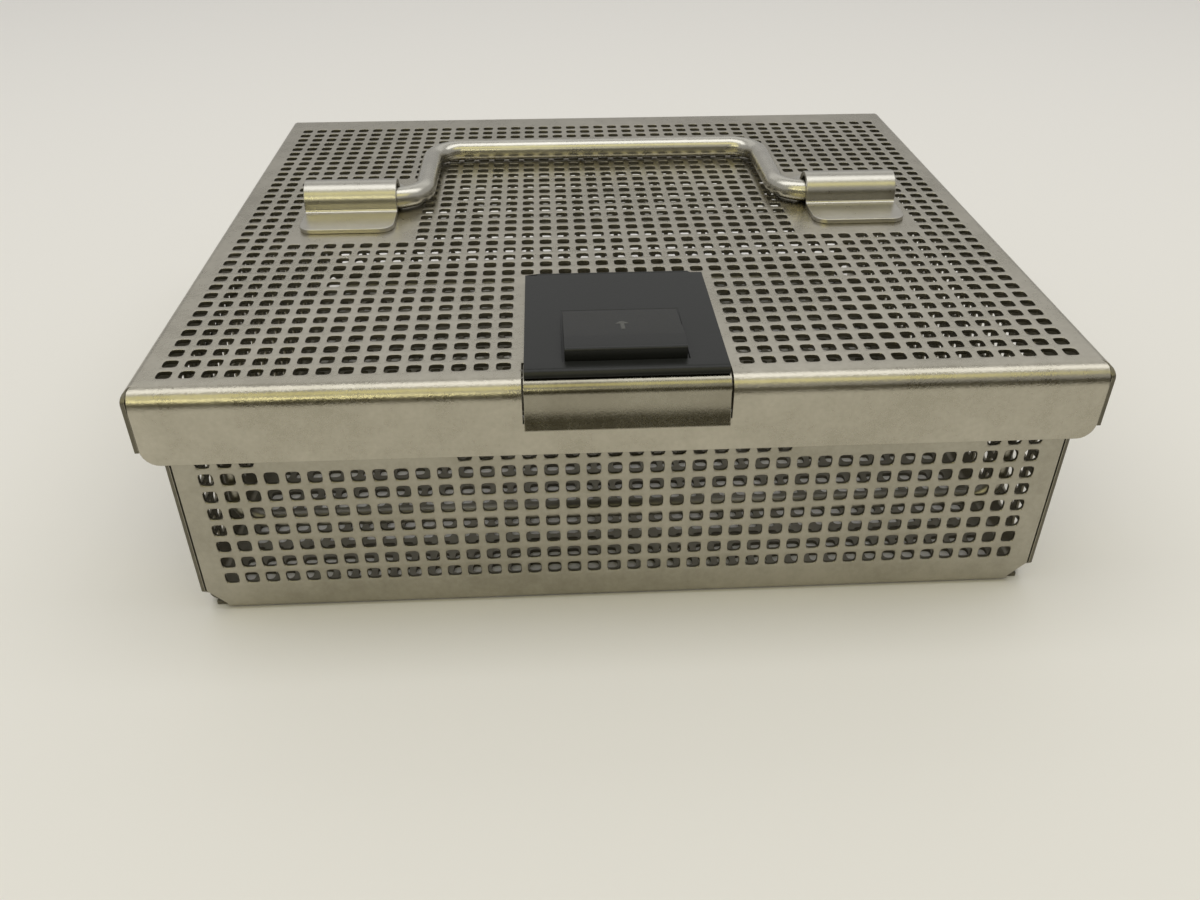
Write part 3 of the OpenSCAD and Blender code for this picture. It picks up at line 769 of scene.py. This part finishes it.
choose(
    "EDGE",
    lambda p: abs(p.z - slider_top - grip_height) < tiny and abs(p.y - grip_front - moat) < tiny,
)
bpy.ops.mesh.bevel(affect="EDGES", offset=lip_round, segments=4)
choose("VERT", lambda p: abs(p.z - slider_top + moat) < tiny and p.y > grip_crest)
bpy.ops.transform.translate(value=(0, 0, moat - ramp_end / 2))
bpy.ops.object.mode_set(mode="OBJECT")
soften(slider, slider_edge, 2)


def plastic(name, dark, light, rough):
    """Black moulded plastic with a fine spark texture, dulled by many washes."""
    paint = Paint(name, Metallic=0.0, Specular_IOR_Level=0.3)
    wear = paint.noise(0.02, 4.0)
    dust = paint.noise(0.0012)
    fine = paint.noise(0.0004)
    paint.feed("Base Color", paint.mix(wear * 0.7 + dust * 0.3, (*dark, 1), (*light, 1)))
    paint.feed("Roughness", rough + wear * 0.12 + dust * 0.06)
    paint.feed("Normal", paint.bump(fine + dust * 0.5, 0.25, 0.0001))
    return paint.material


black_plastic = plastic("black_plastic", (0.007, 0.0075, 0.0065), (0.017, 0.018, 0.016), 0.27)
slider.data.materials.append(black_plastic)
finish(slider, "black_plastic", "latch", "latch_slider")

# a plain arrow on the grip's ramp shows which way the slider is drawn
arrow_y = grip_front + 0.0158
arrow_length = 0.0066
arrow_width = 0.0011
arrow_thickness = 0.00012
head_y = 0.0012
barb = 0.0013
barb_tip = 0.0003
ramp = atan2(grip_height - ramp_end, grip_rear - moat - grip_crest)
arrow_z = slider_top + grip_height - (arrow_y - grip_crest) * tan(ramp)
bpy.ops.object.select_all(action="DESELECT")
bpy.ops.mesh.primitive_cube_add(size=1)
arrow = bpy.context.object
arrow.name = "arrow"
arrow.scale = (arrow_width, arrow_length, arrow_thickness)
put(arrow, (0, 0, 0))
bpy.ops.object.mode_set(mode="EDIT")
bpy.ops.mesh.select_all(action="SELECT")
bpy.ops.mesh.bisect(plane_co=(0, head_y, 0), plane_no=(0, 1, 0))
for side in (-1, 1):
    choose("FACE", lambda p: p.x * side > arrow_width / 2 - tiny and p.y > head_y - tiny)
    pull((side * barb, 0, 0))
choose("VERT", lambda p: p.y > head_y + tiny and abs(p.x) > arrow_width / 2 + tiny)
bpy.ops.transform.translate(value=(0, head_y - arrow_length / 2 + barb_tip, 0))
bpy.ops.object.mode_set(mode="OBJECT")
put(arrow, (0, arrow_y, arrow_z), (-ramp, 0, 0))
mark_grey = plastic("mark_grey", (0.075, 0.075, 0.07), (0.11, 0.11, 0.10), 0.5)
arrow.data.materials.append(mark_grey)
finish(arrow, "black_plastic", "latch")


# Floor and light
# A pale paper floor, wide soft lights overhead and behind, a warm one from the front with
# its low glow, and a dim card behind the camera that gives the bends their dark streak.

bpy.ops.object.select_all(action="DESELECT")
bpy.ops.mesh.primitive_plane_add(size=12, location=(0, 0, -0.0001))
floor = bpy.context.object
floor.name = "floor"
paper = Paint("paper", Roughness=0.8)
paper.shader.inputs["Base Color"].default_value = (0.84, 0.82, 0.78, 1)
floor.data.materials.append(paper.material)

bpy.ops.mesh.primitive_plane_add(size=1, location=(0.2, -0.46, 0.1), rotation=(pi / 2, 0, 0))
card = bpy.context.object
card.name = "card"
card.scale = (1.4, 0.2, 1)
card.visible_camera = False
card.visible_shadow = False
card.visible_diffuse = False
dim = Paint("dim_card", Roughness=0.9)
dim.shader.inputs["Base Color"].default_value = (0.06, 0.05, 0.02, 1)
card.data.materials.append(dim.material)

world = bpy.context.scene.world or bpy.data.worlds.new("world")
bpy.context.scene.world = world
world.use_nodes = True
world.node_tree.nodes["Background"].inputs["Color"].default_value = (0.79, 0.78, 0.77, 1)
world.node_tree.nodes["Background"].inputs["Strength"].default_value = 0.58


def soft_light(name, place, target, size, power, colour, on_floor=True):
    """A rectangular area light that looks at a point, and may show only in reflections."""
    lamp = bpy.data.lights.new(name, "AREA")
    lamp.shape = "RECTANGLE"
    lamp.size, lamp.size_y = size
    lamp.energy = power
    lamp.color = colour
    holder = bpy.data.objects.new(name, lamp)
    holder.location = place
    look = Vector(target) - Vector(place)
    holder.rotation_euler = look.to_track_quat("-Z", "Y").to_euler()
    holder.visible_camera = False
    holder.visible_diffuse = on_floor
    bpy.context.collection.objects.link(holder)


soft_light("ceiling", (0, 0.0, 1.4), (0, 0.0, 0), (3.0, 0.76), 11.3, (0.97, 0.98, 1.0))
soft_light("rear", (0, 1.3, 1.2), (0, 0.1, 0), (3.0, 0.9), 3.4, (0.97, 0.98, 1.0))
soft_light("warm_front", (0, -0.9, 1.2), (0, -0.1, 0.07), (1.8, 0.5), 2.5, (1.0, 0.9, 0.2))
soft_light("glow", (-0.5, -1.1, 0.64), (0, -0.1, 0.07), (1.0, 0.16), 1.7, (1.0, 0.93, 0.45), False)


# Camera
# Stands where the photograph was taken, with the lens of a phone.

camera = bpy.data.cameras.new("camera")
camera.sensor_width = 36
camera.lens = 30.72
eye = bpy.data.objects.new("camera", camera)
yaw, pitch_down, roll = radians(2.980), radians(34.391), radians(-0.018)
ahead = Vector((sin(yaw) * cos(pitch_down), cos(yaw) * cos(pitch_down), -sin(pitch_down)))
eye.rotation_euler = (
    ahead.to_track_quat("-Z", "Y").to_matrix() @ Matrix.Rotation(roll, 3, "Z")
).to_euler()
eye.location = (-0.01956, -0.3484, 0.2161)
bpy.context.collection.objects.link(eye)
bpy.context.scene.camera = eye
bpy.context.scene.view_settings.view_transform = "Standard"
